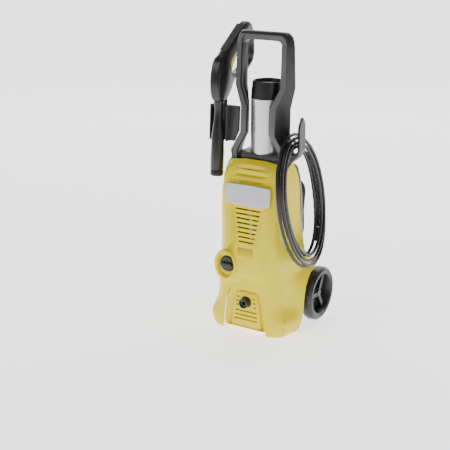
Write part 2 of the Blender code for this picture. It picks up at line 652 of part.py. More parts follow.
def wheels(machine, rubber, black, grey):
    length = 2 * (WHEEL_OUTER_X - WHEEL_WIDTH / 2 + 0.0020)
    add_object("axle", cylinder("axle", AXLE_RADIUS, length, "X", 16, 0.001), grey, machine,
               (0, WHEEL_Y, WHEEL_RADIUS))
    for name, side in (("left", -1), ("right", 1)):
        centre = (side * (WHEEL_OUTER_X - WHEEL_WIDTH / 2), WHEEL_Y, WHEEL_RADIUS)
        axis = empty(f"wheel_{name}_axis", centre, machine)
        half = WHEEL_WIDTH / 2
        rim_radius = 0.0690
        tyre = turned(f"tyre_{name}", tyre_profile(half, rim_radius + GAP), "X", LUGS * 2)
        raise_lugs(tyre, half)
        add_object(f"tyre_{name}", tyre, rubber, axis)
        dish = [(AXLE_RADIUS + GAP, -0.016), (0.013, -0.016), (0.015, -0.012), (0.058, -0.012),
                (0.0635, -half + 0.002), (rim_radius, -half + 0.002), (rim_radius, half - 0.002), (0.0640, half - 0.001), (0.0620, half - 0.004),
                (0.058, -0.008), (0.020, -0.007), (0.015, 0.002), (AXLE_RADIUS + GAP, 0.002)]
        rim = add_object(f"rim_{name}", turned(f"rim_{name}", [(r, side * h) for r, h in dish], "X", 30), black, axis)
        rib_x = -side * 0.002
        for k in range(3):
            angle = math.radians(30 + 120 * k)
            spoke = block("spoke", (0.016, 0.013, 0.050))
            reach = 0.0385
            at = (centre[0] + rib_x, centre[1] + reach * math.sin(angle), centre[2] + reach * math.cos(angle))
            place = helper(f"spoke_{name}_{k}", spoke, rim, (0, 0, 0), (-angle, 0, 0))
            place.location = Vector(at) - Vector(centre)
            unite(rim, place)
        cap = cylinder(f"hub_cap_{name}", 0.0125, 0.0045, "X", 16, 0.0015)
        add_object(f"hub_cap_{name}", cap, black, axis, (side * 0.0051, 0, 0))


def tyre_profile(half, inner):
    shoulder = WHEEL_RADIUS - 0.006
    tread = WHEEL_RADIUS - 0.002
    return [(inner, -half + 0.001), (shoulder - 0.004, -half), (shoulder, -half + 0.002), (tread, -half + 0.008),
            (tread, half - 0.008), (shoulder, half - 0.002), (shoulder - 0.004, half), (inner, half - 0.001)]


def raise_lugs(mesh, half):
    """Lifts the tread at every other segment, which leaves a low lug between two grooves."""
    for vertex in mesh.vertices:
        flat = Vector((vertex.co.y, vertex.co.z))
        tread = flat.length > WHEEL_RADIUS - 0.0025
        segment = round(math.atan2(flat.y, flat.x) / (math.pi / LUGS))
        if tread and segment % 2 == 0:
            flat *= WHEEL_RADIUS / flat.length
            vertex.co.y, vertex.co.z = flat
    mesh.update()


# Hose, its hook and its end fittings


def hose_hook(machine, black):
    """An arm off the right-hand post that turns up into a tongue."""
    arm = [(0.0996, 0.5300), (0.1160, 0.5360), (0.1300, 0.5500), (0.1385, 0.5650), (0.1400, 0.5760), (0.1330, 0.5760),
           (0.1300, 0.5660), (0.1200, 0.5600), (0.0996, 0.5560)]
    low, high = HOOK_Y
    layers = [(low, 0.002), (low + 0.004, 0.0), (high - 0.004, 0.0), (high, 0.002)]
    hook = add_object("hose_hook", layered("hose_hook", arm, layers, "XZ"), black, machine)
    middle, half = (low + high) / 2, (high - low) / 2
    leaf = [(middle - half + 0.002, 0.570), (middle + half - 0.002, 0.570), (middle + half, 0.580),
            (middle + half - 0.001, 0.640), (middle + half - 0.005, 0.655), (middle + 0.004, 0.6665),
            (middle - 0.003, 0.6660), (middle - half + 0.004, 0.650), (middle - half, 0.635), (middle - half, 0.580)]
    tongue = layered("tongue", leaf, [(0.1330, 0.001), (0.1340, 0.0), (0.1385, 0.0), (0.1400, 0.0015)], "YZ")
    unite(hook, helper("tongue", tongue, hook))


def coil_point(angle, out, across):
    """A point of the coil for an angle in degrees from +Y, and the direction along the coil there."""
    t = math.radians(angle)
    a, b = COIL_HALF_SIZE
    along = Vector((-a * math.sin(t), b * math.cos(t))).normalized()
    flat = Vector((a * math.cos(t), b * math.sin(t))) + Vector((along.y, -along.x)) * out
    lean = Matrix.Rotation(COIL_LEAN, 2)
    flat, along = lean @ flat, lean @ along
    place = COIL_CENTRE + Vector((across + COIL_SLANT * flat.y, flat.x, flat.y))
    return place, Vector((COIL_SLANT * along.y, along.x, along.y)).normalized()


def hose(machine, rubber, black):
    band, wide, shelf, bevel = COIL_HALF_BAND, COIL_HALF_WIDTH, COIL_SHELF, 0.006
    section = [(-band, bevel - wide), (bevel - band, -wide), (0.001, -wide), (0.001, shelf), (band, shelf),
               (band, wide - bevel), (band - bevel, wide), (bevel - band, wide), (-band, wide - bevel)]
    sides = 40
    points = [coil_point(360 * i / sides, out, across)[0] for i in range(sides) for out, across in section]
    faces = ring_faces(sides, len(section))
    last = (sides - 1) * len(section)
    for k in range(len(section)):
        j = (k + 1) % len(section)
        faces.append((last + k, last + j, j, k))
    add_object("hose_coil", mesh_from("hose_coil", points, faces), rubber, machine)
    # Both ends lie in the pocket on the machine's side of the bundle, at the back.
    body = [(0, -0.022), (0.0085, -0.022), (0.0085, 0.004), (0.0065, 0.006), (0.0065, 0.022), (0, 0.022)]
    for name, angle, up in (("hose_fitting_gun", FITTING_ANGLES[0], 1), ("hose_fitting_pump", FITTING_ANGLES[1], -1)):
        at, along = coil_point(angle, 0.0125, shelf - 0.0088)
        turn = Vector((0, 0, 1)).rotation_difference(along * up).to_euler()
        add_object(name, turned(name, body, sides=20), black, machine, at, turn)


# Spray gun and holder; its own frame has the barrel's axis as Z and starts where the barrel enters the holder

GUN_OUTLINE = [(0.0150, 0.0045), (0.0300, 0.0120), (0.0480, 0.0350), (0.0585, 0.0540), (0.0660, 0.0625),
               (0.1000, 0.0690), (0.1450, 0.0880), (0.1680, 0.1080), (0.1765, 0.1330), (0.1740, 0.1680),
               (0.1640, 0.2030), (0.1530, 0.2220), (0.1370, 0.2290), (0.1150, 0.2200), (0.0030, 0.1340),
               (-0.0110, 0.1275), (-0.0215, 0.1120), (-0.0285, 0.0880), (-0.0310, 0.0600), (-0.0290, 0.0340),
               (-0.0220, 0.0140), (-0.0150, 0.0045)]
GUARD_OPENING = [(0.0450, 0.0820), (0.0700, 0.0795), (0.1000, 0.0810), (0.1400, 0.0990), (0.1600, 0.1150),
                 (0.1660, 0.1340), (0.1630, 0.1600), (0.1500, 0.1880), (0.0760, 0.1530), (0.0330, 0.1170),
                 (0.0370, 0.0960)]
TRIGGER_POCKET = [(0.0400, 0.0690), (0.0570, 0.0690), (0.1130, 0.1400), (0.1130, 0.1790), (0.0950, 0.1800),
                  (0.0560, 0.1500), (0.0360, 0.1200)]
TRIGGER_OUTLINE = [(0.0430, 0.0715), (0.0530, 0.0715), (0.0580, 0.0830), (0.0620, 0.0960), (0.0690, 0.1100),
                   (0.0850, 0.1320), (0.1050, 0.1490), (0.1075, 0.1550), (0.1030, 0.1580), (0.0790, 0.1430),
                   (0.0600, 0.1240), (0.0500, 0.1060), (0.0450, 0.0900)]
LOCK_AT = Vector((0.0, 0.0715, 0.0722))


def gun(machine, black, grip_grey, yellow, steel, grey):
    lift = empty("gun_axis", GUN_SEAT, machine, (-GUN_LEAN, 0, 0))
    half = GUN_HALF_WIDTH
    for name, side in (("gun_half_left", -1), ("gun_half_right", 1)):
        layers = [(0.00015, 0.0), (half * 0.6, 0.0), (half * 0.88, 0.0022), (half, 0.0060)]
        layers = [(side * depth, edge) for depth, edge in layers]
        shell = add_object(name, layered(name, GUN_OUTLINE, layers, "YZ"), black, lift)
        opening = layered("guard_opening", GUARD_OPENING, [(-0.03, 0.0), (0.03, 0.0)], "YZ")
        cut(shell, helper(f"{name}_guard", opening, shell))
        pocket = layered("trigger_pocket", TRIGGER_POCKET, [(-0.0076, 0.0), (0.0076, 0.0)], "YZ")
        cut(shell, helper(f"{name}_pocket", pocket, shell))
        cut(shell, helper(f"{name}_pin", cylinder("pin_hole", 0.0023, 0.05, "X", 12), shell, TRIGGER_PIVOT))
        cut(shell, helper(f"{name}_lock", cylinder("lock_hole", 0.0048, 0.05, "X", 16), shell, LOCK_AT))
        cut(shell, helper(f"{name}_valve", cylinder("valve_room", 0.0095, 0.070, "Z", 20), shell, (0, 0, 0.030)))
        cut(shell, helper(f"{name}_socket", cylinder("socket_room", 0.0093, 0.060, "Y", 20), shell,
                          (0, 0.158, 0.2235), (math.radians(40), 0, 0)))

    pad = [(0.0150, 0.1477), (0.1090, 0.2199), (0.1065, 0.2231), (0.0125, 0.1509)]
    pad_mesh = layered("gun_grip_pad", pad, [(-0.012, 0.001), (-0.010, 0.0), (0.010, 0.0), (0.012, 0.001)], "YZ")
    add_object("gun_grip_pad", pad_mesh, grip_grey, lift)

    end = -BARREL_LENGTH
    barrel = [(0, 0.0038), (0.0160, 0.0038), (0.0148, -0.0080), (NECK_RADIUS + 0.0004, -0.0220),
              (NECK_RADIUS, -0.034), (NECK_RADIUS + 0.001, -0.052),
              (BARREL_RADIUS - 0.001, -0.100), (BARREL_RADIUS, -0.150), (BARREL_RADIUS, end + 0.022),
              (BARREL_RADIUS - 0.001, end + 0.021), (BARREL_RADIUS - 0.001, end + 0.018), (BARREL_RADIUS, end + 0.017),
              (BARREL_RADIUS, end + 0.003), (BARREL_RADIUS - 0.003, end), (0.0110, end), (0.0110, end + 0.042),
              (0, end + 0.042)]
    add_object("gun_barrel", turned("gun_barrel", barrel[::-1], sides=32), black, lift)
    ring = tube("gun_bayonet", 0.0107, 0.0082, 0.036, "Z", 24)
    add_object("gun_bayonet", ring, grey, lift, (0, 0, -BARREL_LENGTH + 0.0215))
    add_object("gun_valve", cylinder("gun_valve", 0.0091, 0.055, "Z", 20, 0.001), steel, lift, (0, 0, 0.0325))
    socket = tube("gun_hose_socket", 0.0090, 0.0052, 0.018, "Y", 20)
    reach = 0.018
    at = (0, 0.158 - reach * math.cos(math.radians(40)), 0.2235 - reach * math.sin(math.radians(40)))
    add_object("gun_hose_socket", socket, grey, lift, at, (math.radians(40), 0, 0))

    pivot = empty("gun_trigger_axis", TRIGGER_PIVOT, lift)
    outline = [(y - TRIGGER_PIVOT.y, z - TRIGGER_PIVOT.z) for y, z in TRIGGER_OUTLINE]
    lever = layered("gun_trigger", outline, [(-0.0070, 0.0012), (-0.0056, 0.0), (0.0056, 0.0), (0.0070, 0.0012)], "YZ")
    trigger = add_object("gun_trigger", lever, yellow, pivot)
    cut(trigger, helper("trigger_bore", cylinder("trigger_bore", 0.0023, 0.03, "X", 12), trigger))
    add_object("gun_trigger_pin", cylinder("gun_trigger_pin", 0.0020, 0.028, "X", 12), steel, lift, TRIGGER_PIVOT)
    lock_axis = empty("gun_lock_axis", LOCK_AT, lift)
    add_object("gun_lock", cylinder("gun_lock", 0.0045, 0.040, "X", 16, 0.001), grey, lock_axis)


def gun_holder(machine, grey):
    """A channel, open to the front, that the barrel stands in: two flanges on a plate that reaches the left-hand
    post, with a tab on top that the gun's body rests on."""
    seat = empty("gun_holder_frame", GUN_SEAT, machine, (-GUN_LEAN, 0, 0))
    low, high = -0.116, -0.010
    left, right, plate, back = -0.033, 0.0270, 0.0255, 0.0290
    wall, lip = 0.0035, 0.004
    channel = [(left, lip), (left + wall, lip), (left + wall, plate), (right - wall, plate), (right - wall, lip),
               (right, lip), (right, back), (left, back)]
    mesh = layered("gun_holder", channel, [(low, 0.0), (high, 0.0)], "XY")
    holder = add_object("gun_holder", mesh, grey, seat)
    reach = [(0.010, low), (0.0405, low), (0.0550, -0.0830), (0.0550, high - 0.002), (0.0530, high), (0.010, high)]
    arm = layered("holder_arm", reach, [(plate - 0.0001, 0.0), (back + 0.0040, 0.0)], "XZ")
    unite(holder, helper("holder_arm", arm, holder))
    tab = block("holder_tab", (0.024, back - plate - 0.0002, 0.030), 0.0)
    unite(holder, helper("holder_tab", tab, holder, (0.0, (back + plate) / 2, -0.0056)))


# Mains lead and water inlet


def cable_hook(name, parent, look, at, neck, reach):
    """A round neck that stands out of the cover, with a blade across its end."""
    stem = turned(name, [(0, 0.0), (0.0100, 0.0), (0.0100, neck), (0, neck)], "Y", 20)
    hook = add_object(name, stem, look, parent, at)
    outline = rounded([(-0.012, -0.012), (0.012, -0.012), (0.010, 0.040), (-0.010, 0.040)], 0.008)
    if reach < 0:
        outline = [(x, -z) for x, z in reversed(outline)]
    blade = layered("blade", outline, [(neck + 0.006, 0.001), (neck + 0.005, 0.0), (neck - 0.0002, 0.0)], "XZ")
    unite(hook, helper(f"{name}_blade", blade, hook, at))
    return hook


def mains(machine, rubber, black, steel, grey):
    x, y, z = HANK_CENTRE
    back = y + HANK_THICKNESS / 2 + 0.001
    upper_base, lower_base = 0.0545, 0.0640
    turning = empty("cable_hook_axis", (x, upper_base, z + 0.060), machine)
    cable_hook("cable_hook_upper", turning, black, (0, 0, 0), back - upper_base, 1)
    cable_hook("cable_hook_lower", machine, black, (x, lower_base, z - 0.060), back - lower_base, -1)

    wide, tall = HANK_HALF_SIZE
    inner = wide - 2 * HANK_HALF_BAND
    straight = tall - wide

    def stadium(radius, count):
        top = arc((0, straight), radius, 0, 180, count)
        return top + arc((0, -straight), radius, 180, 360, count)

    layers = [(-HANK_THICKNESS / 2, 0.004), (-HANK_THICKNESS / 2 + 0.004, 0.0), (HANK_THICKNESS / 2 - 0.004, 0.0),
              (HANK_THICKNESS / 2, 0.004)]
    hank = add_object("mains_hank", layered("mains_hank", stadium(wide, 13), layers, "XZ"), rubber, machine,
                      HANK_CENTRE)
    slot = layered("hank_slot", stadium(inner, 9), [(-0.03, 0.0), (0.03, 0.0)], "XZ")
    cut(hank, helper("hank_slot", slot, hank, HANK_CENTRE))

    gland = turned("mains_gland", [(LEAD_DIAMETER / 2 + GAP, -0.022), (0.0072, -0.022), (0.0072, -0.008),
                                   (0.0090, -0.008), (0.0080, 0.0), (LEAD_DIAMETER / 2 + GAP, 0.0)], "Y", 20)
    add_object("mains_gland", gland, rubber, machine, LEAD_EXIT)
    start = LEAD_EXIT + Vector((0, GAP, 0))
    route = [start + Vector(step) for step in ((0, 0, 0), (0, 0.016, 0.001), (0.006, 0.030, 0.012),
                                               (0.026, 0.026, 0.040), (0.050, 0.008, 0.064), (0.068, -0.016, 0.080))]
    end = Vector((x + 0.004, y, z - tall - 0.001))
    route += [end - Vector((0.004, -0.006, 0.016)), end]
    add_object("mains_lead", cord_curve("mains_lead", route, LEAD_DIAMETER, 18), rubber, machine)

    body = [(0, -0.020), (0.0185, -0.020), (0.0185, -0.004), (0.0150, 0.010), (0.0075, 0.020), (0.0060, 0.036),
            (0, 0.036)]
    plug = add_object("mains_plug", turned("mains_plug", body, sides=24), rubber, machine,
                      (x - wide - 0.0195, y, z - 0.030))
    for side in (-1, 1):
        pin = cylinder("plug_pin", 0.0024, 0.0205, "Z", 10)
        at = (x - wide - 0.0195 + side * 0.0095, y, z - 0.030 - 0.020 - 0.009)
        unite(plug, helper(f"plug_pin_{side}", pin, plug, at))


def water_inlet(machine, black, grey):
    at = Vector((0.058, 0.112, 0.150))
    outer = [(0.0085, -0.020), (0.0125, -0.020), (0.0125, 0.000), (0.0150, 0.001), (0.0150, 0.010), (0.0130, 0.012),
             (0.0130, 0.028), (0.0085, 0.028)]
    add_object("inlet_coupling", turned("inlet_coupling", outer, "Y", 24), black, machine, at)
    cup = [(0, -0.010), (0.0082, -0.010), (0.0082, 0.018), (0.0062, 0.018), (0.0062, -0.008), (0, -0.008)]
    add_object("inlet_filter", turned("inlet_filter", cup, "Y", 20), grey, machine, at)
    return at


def feet(machine, rubber):
    for name, side in (("left", -1), ("right", 1)):
        height = 0.018 - GAP
        pad = cylinder(f"foot_pad_{name}", 0.012, height, "Z", 20, 0.001)
        add_object(f"foot_pad_{name}", pad, rubber, machine, (side * 0.078, -0.068, height / 2))


def main():
    clear_scene()
    machine = empty("machine", (0.0, FOOTPRINT_SHIFT, 0.0))
    yellow = material("yellow plastic", (0.86, 0.70, 0.02), 0.35)
    black = material("black plastic", (0.015, 0.015, 0.016), 0.45)
    grey = material("dark grey plastic", (0.07, 0.07, 0.075), 0.45)
    grip_grey = material("grip rubber", (0.05, 0.05, 0.055), 0.7)
    rubber = material("rubber", (0.012, 0.012, 0.013), 0.6)
    silver = material("brushed silver", (0.62, 0.62, 0.64), 0.3, 0.9)
    steel = material("steel", (0.5, 0.5, 0.52), 0.3, 1.0)
    cast = material("cast aluminium", (0.45, 0.45, 0.46), 0.5, 1.0)

    front_cover(machine, yellow)
    rear = rear_cover(machine, black)
    base_tray(machine, black)
    outlet_panel(machine, yellow)
    badge(machine, silver)
    tower(machine, grey, silver, black)
    internals(machine, steel, black, cast)
    switch_knob(machine, black)
    outlet(machine, black, grey)
    wheels(machine, rubber, black, steel)
    hose_hook(machine, black)
    hose(machine, rubber, black)
    gun(machine, black, grip_grey, yellow, steel, grey)
    gun_holder(machine, grey)
    mains(machine, rubber, black, steel, grey)
    inlet_at = water_inlet(machine, black, grey)
    feet(machine, rubber)
    for name, at, radius in (("gland_hole", LEAD_EXIT, 0.0075), ("inlet_hole", inlet_at, 0.0128)):
        hole = cylinder(name, radius, 0.04, "Y", 20)
        cut(rear, helper(name, hole, rear, (at.x, at.y - 0.012, at.z)))


main()
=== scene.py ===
import json
import math

import bmesh
import bpy
from mathutils import Matrix, Vector


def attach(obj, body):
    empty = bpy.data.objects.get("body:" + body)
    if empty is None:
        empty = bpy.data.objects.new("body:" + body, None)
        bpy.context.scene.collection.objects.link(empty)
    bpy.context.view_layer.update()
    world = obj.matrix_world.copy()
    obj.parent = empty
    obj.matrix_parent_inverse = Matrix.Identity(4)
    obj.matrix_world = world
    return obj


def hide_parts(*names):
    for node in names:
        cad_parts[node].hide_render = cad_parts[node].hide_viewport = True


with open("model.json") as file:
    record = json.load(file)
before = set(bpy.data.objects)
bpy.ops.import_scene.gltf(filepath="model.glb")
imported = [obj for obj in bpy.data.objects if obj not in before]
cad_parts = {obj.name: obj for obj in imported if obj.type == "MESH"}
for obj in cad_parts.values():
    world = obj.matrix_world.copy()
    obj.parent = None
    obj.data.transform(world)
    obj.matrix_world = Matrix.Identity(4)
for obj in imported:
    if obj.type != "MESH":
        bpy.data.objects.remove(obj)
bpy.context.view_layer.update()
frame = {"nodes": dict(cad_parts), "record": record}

FOOTPRINT_SHIFT = Vector((0.0, -0.0153, 0.0))  # from the motor's axis to the middle of the footprint

# Camera, floor and light

ROOM_STRENGTH = 0.22
FLOOR_GLOW = 1.7  # lightens the background without lighting the machine as much
KEY_POWER, FILL_POWER, BACK_POWER = 26, 12, 24  # watts


def camera():
    """At chest height, from the front right, with a long lens, looking a little down."""
    data = bpy.data.cameras.new("camera")
    data.sensor_width = 36.0
    data.lens = 76.49
    made = bpy.data.objects.new("camera", data)
    made.location = Vector((1.34629, -2.43874, 1.23443)) + FOOTPRINT_SHIFT
    made.rotation_euler = (math.radians(90.0 - 18.385), 0.0, math.radians(31.489))
    bpy.context.scene.collection.objects.link(made)
    bpy.context.scene.camera = made


def area_light(name, at, target, size, power, colour=(1.0, 1.0, 1.0)):
    data = bpy.data.lights.new(name, "AREA")
    data.shape = "RECTANGLE"
    data.size, data.size_y = size
    data.energy = power
    data.color = colour
    made = bpy.data.objects.new(name, data)
    made.location = at
    made.rotation_euler = (Vector(target) - Vector(at)).to_track_quat("-Z", "Y").to_euler()
    bpy.context.scene.collection.objects.link(made)


def studio():
    """A pale floor that curves up behind and gives off some light, a dim room and three soft boxes."""
    mesh = bpy.data.meshes.new("floor")
    depth, turn, steps = 3.0, 1.2, 12
    profile = [(-4.0, 0.0), (depth, 0.0)]
    profile += [(depth + turn * math.sin(a), turn - turn * math.cos(a))
                for a in (math.pi / 2 * (i + 1) / steps for i in range(steps))]
    profile.append((depth + turn, 5.0))
    points = [(x, y, z) for y, z in profile for x in (-6.0, 6.0)]
    faces = [(2 * i, 2 * i + 1, 2 * i + 3, 2 * i + 2) for i in range(len(profile) - 1)]
    mesh.from_pydata(points, [], faces)
    mesh.shade_smooth()
    floor = bpy.data.objects.new("floor", mesh)
    floor.rotation_euler = (0.0, 0.0, math.radians(31.5))
    bpy.context.scene.collection.objects.link(floor)
    mesh.materials.append(paper())
    world = bpy.data.worlds.new("room")
    world.use_nodes = True
    sky = world.node_tree.nodes["Background"]
    sky.inputs["Color"].default_value = (1.0, 1.0, 1.0, 1.0)
    sky.inputs["Strength"].default_value = ROOM_STRENGTH
    bpy.context.scene.world = world
    area_light("key", (-1.6, -2.2, 2.6), (0, 0, 0.4), (1.6, 1.6), KEY_POWER)
    area_light("fill", (2.4, -1.2, 1.4), (0, 0, 0.45), (1.2, 2.0), FILL_POWER)
    area_light("back", (0.6, 2.2, 2.4), (0, 0, 0.5), (2.0, 1.0), BACK_POWER)


# Materials

# Painted light: the handle frame's front faces get a lighter colour and its other faces a darker one, shade
# painted in by the direction a face looks.
FRAME_PAINTED_LIT, FRAME_PAINTED_SHADE = (0.085, 0.086, 0.090), (0.014, 0.014, 0.015)


class Shader:
    """A Principled material and the few node chains that its looks need."""

    def __init__(self, name, colour, roughness, metallic=0.0, **extra):
        self.material = bpy.data.materials.new(name)
        self.material.use_nodes = True
        self.tree = self.material.node_tree
        self.bsdf = self.tree.nodes["Principled BSDF"]
        self.colour = (*colour, 1.0)
        self.set("Base Color", self.colour)
        self.set("Roughness", roughness)
        self.set("Metallic", metallic)
        for socket, value in extra.items():
            self.set(socket.replace("_", " "), value)
        self.place = self.tree.nodes.new("ShaderNodeTexCoord").outputs["Object"]

    def set(self, socket, value):
        self.bsdf.inputs[socket].default_value = value

    def link(self, start, end):
        self.tree.links.new(start, end)

    def mapped(self, scale):
        node = self.tree.nodes.new("ShaderNodeMapping")
        node.inputs["Scale"].default_value = scale
        self.link(self.place, node.inputs["Vector"])
        return node.outputs["Vector"]

    def noise(self, scale, detail=3.0, roughness=0.55, stretch=(1.0, 1.0, 1.0)):
        node = self.tree.nodes.new("ShaderNodeTexNoise")
        node.inputs["Scale"].default_value = scale
        node.inputs["Detail"].default_value = detail
        node.inputs["Roughness"].default_value = roughness
        self.link(self.mapped(stretch), node.inputs["Vector"])
        return node.outputs["Fac"]

    def ramp(self, fac, low, high, start=0.3, end=0.7):
        node = self.tree.nodes.new("ShaderNodeMapRange")
        for socket, value in zip(("From Min", "From Max", "To Min", "To Max"), (start, end, low, high)):
            node.inputs[socket].default_value = value
        self.link(fac, node.inputs["Value"])
        return node.outputs["Result"]

    def vary_roughness(self, fac, low, high):
        self.link(self.ramp(fac, low, high), self.bsdf.inputs["Roughness"])
        return self

    def vary_colour(self, fac, darker, lighter):
        """Runs the base colour between two multiples of itself."""
        node = self.tree.nodes.new("ShaderNodeMix")
        node.data_type = "RGBA"
        rgb = self.colour[:3]
        node.inputs["A"].default_value = (*(c * darker for c in rgb), 1.0)
        node.inputs["B"].default_value = (*(min(1.0, c * lighter) for c in rgb), 1.0)
        self.link(self.ramp(fac, 0.0, 1.0), node.inputs["Factor"])
        self.link(node.outputs["Result"], self.bsdf.inputs["Base Color"])
        return self

    def ribs(self, scale):
        """Bands across Z."""
        node = self.tree.nodes.new("ShaderNodeTexWave")
        node.bands_direction = "Z"
        node.inputs["Scale"].default_value = scale
        self.link(self.place, node.inputs["Vector"])
        return node.outputs["Fac"]

    def paint_light_by_facing(self, front, other):
        """Painted light by facing: one colour on the faces that look to the front and another on the rest,
        standing in for how the lamps light them.
        """
        normal = self.tree.nodes.new("ShaderNodeTexCoord").outputs["Normal"]
        split = self.tree.nodes.new("ShaderNodeSeparateXYZ")
        self.link(normal, split.inputs["Vector"])
        mix = self.tree.nodes.new("ShaderNodeMix")
        mix.data_type = "RGBA"
        mix.inputs["A"].default_value = (*front, 1.0)
        mix.inputs["B"].default_value = (*other, 1.0)
        # Painted light: the facing mask picks the lighter colour for front faces and the painted shade for the
        # rest.
        self.link(self.ramp(split.outputs["Y"], 0.0, 1.0, -0.92, -0.80), mix.inputs["Factor"])
        self.link(mix.outputs["Result"], self.bsdf.inputs["Base Color"])
        return self

    def bump(self, height, strength, distance):
        node = self.tree.nodes.new("ShaderNodeBump")
        node.inputs["Strength"].default_value = strength
        node.inputs["Distance"].default_value = distance
        self.link(height, node.inputs["Height"])
        before = self.bsdf.inputs["Normal"]
        if before.is_linked:
            self.link(before.links[0].from_socket, node.inputs["Normal"])
        self.link(node.outputs["Normal"], before)
        return self


def moulded(name, colour, roughness, grain=900.0, depth=0.00006, **extra):
    """Injection-moulded plastic: a fine spark-eroded grain, slow waviness and slightly uneven gloss."""
    look = Shader(name, colour, roughness, **extra)
    look.vary_roughness(look.noise(18.0, 4.0), roughness * 0.85, roughness * 1.2)
    look.vary_colour(look.noise(7.0, 2.0), 0.95, 1.04)
    look.bump(look.noise(grain, 2.0), 0.35, depth)
    return look.material


def brushed(name, colour, roughness, stretch, **extra):
    """Brushed metal finish: scratches drawn out along one direction."""
    look = Shader(name, colour, roughness, **extra)
    lines = look.noise(60.0, 6.0, 0.7, stretch)
    look.vary_roughness(lines, roughness * 0.75, roughness * 1.35)
    look.vary_colour(lines, 0.93, 1.04)
    look.bump(lines, 0.12, 0.00005)
    return look.material


def rubbery(name, colour, roughness, grain, depth):
    look = Shader(name, colour, roughness)
    look.vary_roughness(look.noise(30.0, 5.0), roughness * 0.85, roughness * 1.15)
    look.vary_colour(look.noise(25.0, 4.0), 0.8, 1.25)
    look.bump(look.noise(grain, 3.0), 0.4, depth)
    return look.material


def frame_plastic_painted_shade():
    """The handle frame: a painted highlight on faces that look to the front and painted shade on the others,
    standing in for how the lamps light them.
    """
    look = Shader("frame plastic painted shade", FRAME_PAINTED_LIT, 0.42)
    look.vary_roughness(look.noise(18.0, 4.0), 0.34, 0.48)
    # Painted shade: faces that look to the front are painted lighter, all others painted darker.
    look.paint_light_by_facing(FRAME_PAINTED_LIT, FRAME_PAINTED_SHADE)
    look.bump(look.noise(700.0, 2.0), 0.35, 0.0001)
    return look.material


def ribbed_grip():
    look = Shader("grip rubber", (0.035, 0.035, 0.038), 0.55)
    look.vary_roughness(look.noise(30.0, 5.0), 0.45, 0.65)
    look.vary_colour(look.noise(25.0, 4.0), 0.8, 1.2)
    look.bump(look.ribs(90.0), 0.6, 0.0008)
    look.bump(look.noise(500.0, 3.0), 0.4, 0.0002)
    return look.material


def paper():
    look = Shader("paper floor", (0.99, 0.99, 0.99), 0.9)
    look.vary_colour(look.noise(3.0, 2.0), 0.995, 1.005)
    look.set("Emission Color", (1.0, 1.0, 1.0, 1.0))
    look.set("Emission Strength", FLOOR_GLOW)
    return look.material


YELLOW = moulded("yellow plastic", (0.92, 0.74, 0.0), 0.30, Specular_IOR_Level=0.3)
FRAME = frame_plastic_painted_shade()
GREY = moulded("dark grey plastic", (0.050, 0.051, 0.054), 0.42, 700.0, 0.00012)
BLACK = moulded("black plastic", (0.010, 0.010, 0.011), 0.32, 800.0, 0.00008)
GRIP = ribbed_grip()
TYRE = rubbery("wheel plastic", (0.012, 0.012, 0.013), 0.38, 400.0, 0.00012)
HOSE = rubbery("hose cover", (0.010, 0.010, 0.011), 0.26, 600.0, 0.00004)
LEAD = rubbery("lead rubber", (0.02, 0.02, 0.022), 0.6, 900.0, 0.00008)
SILVER = brushed("silver lacquer", (0.74, 0.74, 0.76), 0.30, (1.0, 1.0, 0.02), Metallic=0.75)
BADGE = brushed("badge silver", (0.60, 0.60, 0.66), 0.32, (0.02, 1.0, 1.0), Metallic=0.7)
STEEL = brushed("steel", (0.55, 0.55, 0.57), 0.28, (1.0, 1.0, 0.05), Metallic=1.0)
CAST = rubbery("cast aluminium", (0.42, 0.42, 0.44), 0.5, 250.0, 0.0002)

LOOKS = {"yellow": YELLOW, "black": BLACK, "grey": GREY, "grip": GRIP, "rubber": LEAD, "hose": HOSE,
         "silver": SILVER, "steel": STEEL, "pump": CAST}


OWN_LOOKS = {"badge_plate": BADGE, "tyre_left": TYRE, "tyre_right": TYRE, "rim_left": TYRE, "rim_right": TYRE,
             "handle_post_left": FRAME, "handle_post_right": FRAME, "handle_bar": FRAME}
SLOTS = {entry["node"]: entry["material_slot"] for entry in frame["record"]["subparts"]}
BODIES = {node: body for body, nodes in frame["record"]["behaviour"]["bodies"].items() for node in nodes}


def look_of(name):
    return OWN_LOOKS.get(name, LOOKS[SLOTS[name]])


def dress_frame():
    """Every carried-over CAD node gets the material of its slot, or its own."""
    for name, node in frame["nodes"].items():
        node.data.materials.clear()
        node.data.materials.append(look_of(name))


# Finished copies of the frame's pieces: joined corners, rounded edges and smooth faces

FINISH_WIDTHS = {"front_cover": 0.0, "outlet_panel": 0.0006,
                 "handle_post_left": 0.0014, "handle_post_right": 0.0014,
                 "handle_bar": 0.0014, "sleeve_collar": 0.0008, "gun_half_left": 0.0008, "gun_half_right": 0.0008,
                 "gun_holder": 0.0006, "hose_hook": 0.0010, "switch_knob": 0.0006, "badge_plate": 0.0008,
                 "motor_cap": 0.0005, "motor_sleeve": 0.0, "gun_barrel": 0.0005, "gun_trigger": 0.0005,
                 "gun_grip_pad": 0.0005, "rim_left": 0.0008, "rim_right": 0.0008, "tyre_left": 0.0007,
                 "tyre_right": 0.0007, "rear_cover": 0.0, "outlet_ring": 0.0004}
SMOOTH_BELOW = math.radians(34.0)


